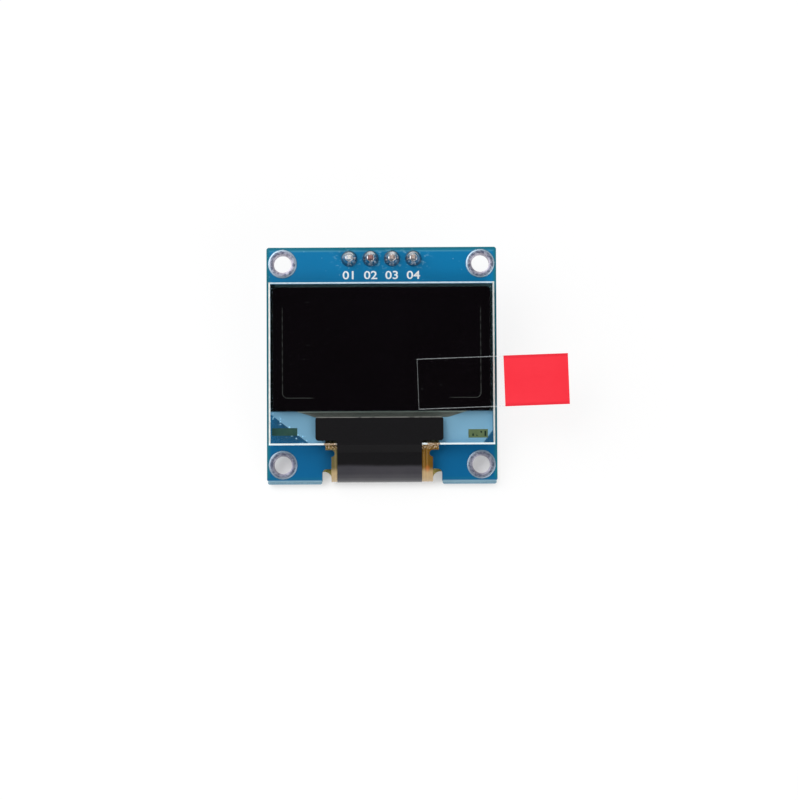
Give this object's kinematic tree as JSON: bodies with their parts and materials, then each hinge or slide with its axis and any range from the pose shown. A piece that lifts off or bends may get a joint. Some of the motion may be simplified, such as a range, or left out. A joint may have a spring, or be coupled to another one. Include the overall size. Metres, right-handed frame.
{
  "type": "oled display module",
  "caption": "Small monochrome OLED panel on a square blue circuit board, with corner mounting holes, a folded ribbon circuit, a pin header behind and a red pull tab on its film.",
  "frame": {"origin": "centre of the four mounting holes, on the board's back face", "axes": "+Z the way the display looks, +Y towards the header, +X towards the pull tab"},
  "size_m": [0.0358, 0.0279, 0.012],
  "materials": {
    "board": "blue solder mask, glossy",
    "tinned_ring": "tinned copper, bright and a little mottled",
    "header_plastic": "black moulded plastic, satin",
    "pin_metal": "gold-flashed, bright",
    "solder": "shiny solder",
    "foam": "white closed-cell foam, matt",
    "glass": "clear, polished",
    "drying_sheet": "chalky white, matt",
    "seal": "cured resin",
    "electrodes": "thin dark olive layers",
    "polariser": "black, mirror-smooth",
    "clear_film": "clear film with fine scratches",
    "red_grip": "red film, satin",
    "silicon": "polished dark grey",
    "polyimide": "amber film over copper, glossy",
    "black_tape": "black, satin",
    "regulator_resin": "black moulded resin, matt",
    "lead_metal": "tinned leads",
    "capacitor": "brown ceramic with tinned ends",
    "resistor": "black glaze with tinned ends"
  },
  "bodies": {
    "root": {"circuit_board": "board", "mounting_ring_1": "tinned_ring", "mounting_ring_2": "tinned_ring", "mounting_ring_3": "tinned_ring", "mounting_ring_4": "tinned_ring", "header_body": "header_plastic", "header_pin_1": "pin_metal", "header_pin_2": "pin_metal", "header_pin_3": "pin_metal", "header_pin_4": "pin_metal", "solder_joint_1": "solder", "solder_joint_2": "solder", "solder_joint_3": "solder", "solder_joint_4": "solder", "foam_tape": "foam", "cap_glass": "glass", "desiccant_sheet": "drying_sheet", "edge_seal": "seal", "emitting_layer": "electrodes", "front_glass": "glass", "polariser": "polariser", "protective_film": "clear_film", "pull_tab_film": "clear_film", "pull_tab_grip": "red_grip", "driver_chip": "silicon", "ribbon_flex": "polyimide", "shading_tape": "black_tape", "flex_solder": "solder", "regulator_body": "regulator_resin", "regulator_leads": "lead_metal", "capacitor_1": "capacitor", "capacitor_2": "capacitor", "capacitor_3": "capacitor", "capacitor_4": "capacitor", "capacitor_5": "capacitor", "capacitor_6": "capacitor", "capacitor_7": "capacitor", "capacitor_8": "capacitor", "resistor_1": "resistor", "resistor_2": "resistor", "resistor_3": "resistor", "resistor_4": "resistor", "resistor_5": "resistor", "resistor_6": "resistor", "resistor_7": "resistor", "chip_solder": "solder"}
  },
  "joints": []
}
